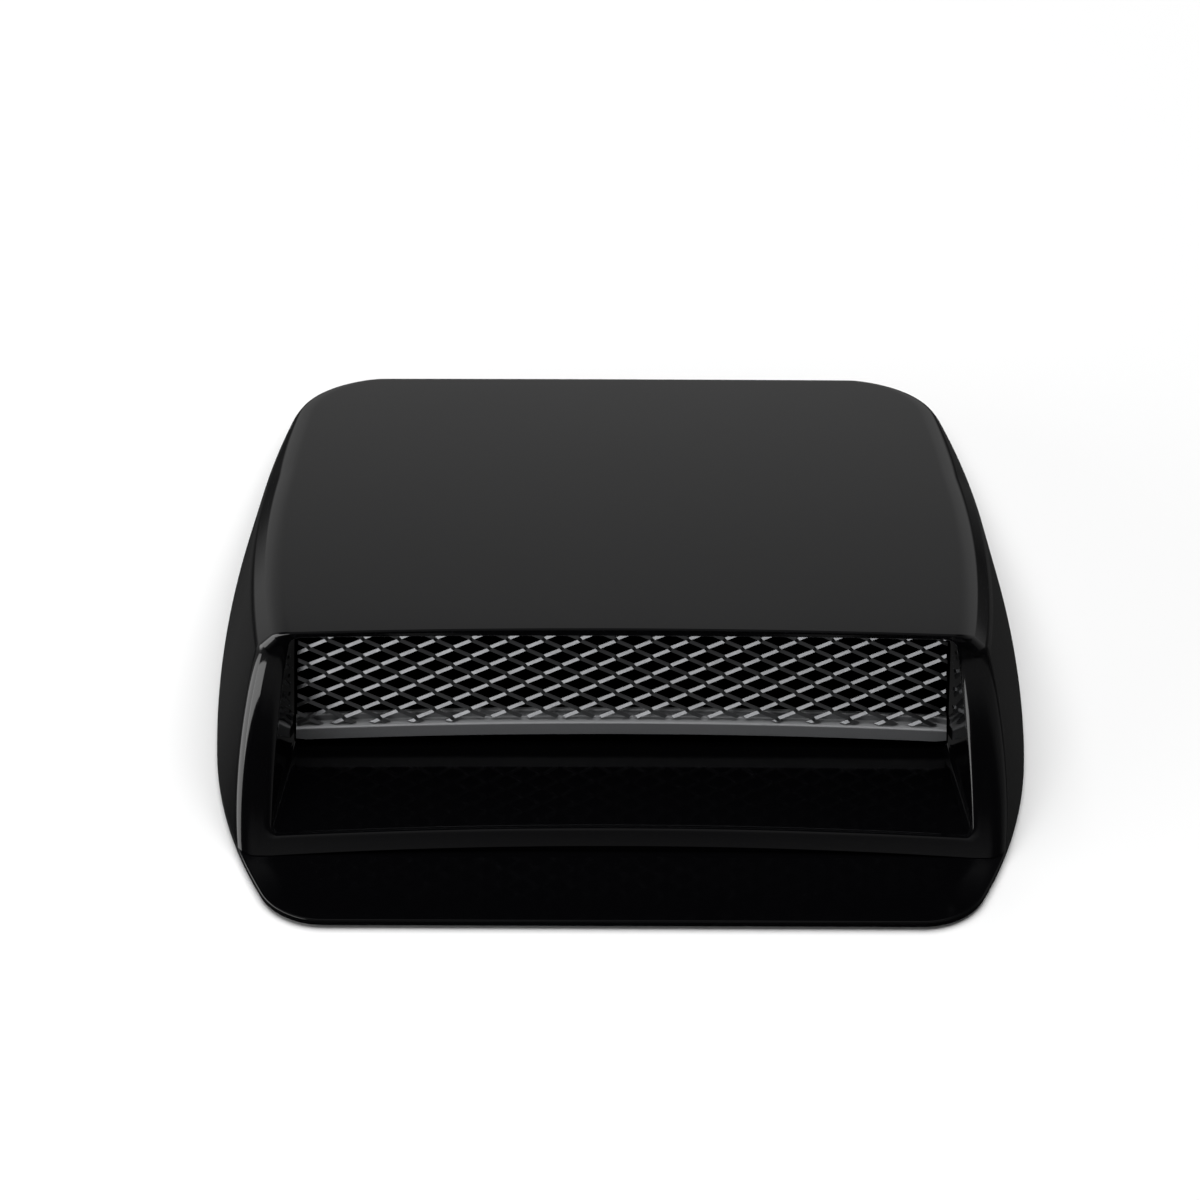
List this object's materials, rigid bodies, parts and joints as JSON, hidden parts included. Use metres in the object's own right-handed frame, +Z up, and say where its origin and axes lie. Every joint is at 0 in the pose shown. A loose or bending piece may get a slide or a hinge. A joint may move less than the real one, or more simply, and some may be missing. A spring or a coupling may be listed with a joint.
{
  "type": "car bonnet vent",
  "caption": "Gloss black stick-on bonnet scoop: moulded cover with a bowed rectangular mouth, raised expanded mesh on an arched rail, and a flat base plate with a front apron on foam tape.",
  "frame": {"origin": "middle of the underside of the foam tape, at the middle of the whole outline", "axes": "+Z up from the bonnet, the mouth faces -Y, +X to the right when looking into the mouth from the front"},
  "size_m": [0.275, 0.2836, 0.0711],
  "materials": {
    "gloss_black": "high gloss black ABS, moulded",
    "mesh_metal": "expanded aluminium, plain grey",
    "satin_grey": "satin grey moulded plastic",
    "black_zinc": "black zinc plated steel screws",
    "foam_tape": "grey closed-cell foam tape"
  },
  "bodies": {
    "root": {"scoop_cover": "gloss_black", "base_plate": "gloss_black", "mesh_grille": "mesh_metal", "mesh_rail": "satin_grey", "cover_screw_1": "black_zinc", "cover_screw_2": "black_zinc", "cover_screw_3": "black_zinc", "cover_screw_4": "black_zinc", "cover_screw_5": "black_zinc", "cover_screw_6": "black_zinc", "tape_front": "foam_tape", "tape_rear": "foam_tape", "tape_left": "foam_tape", "tape_right": "foam_tape"}
  },
  "joints": []
}
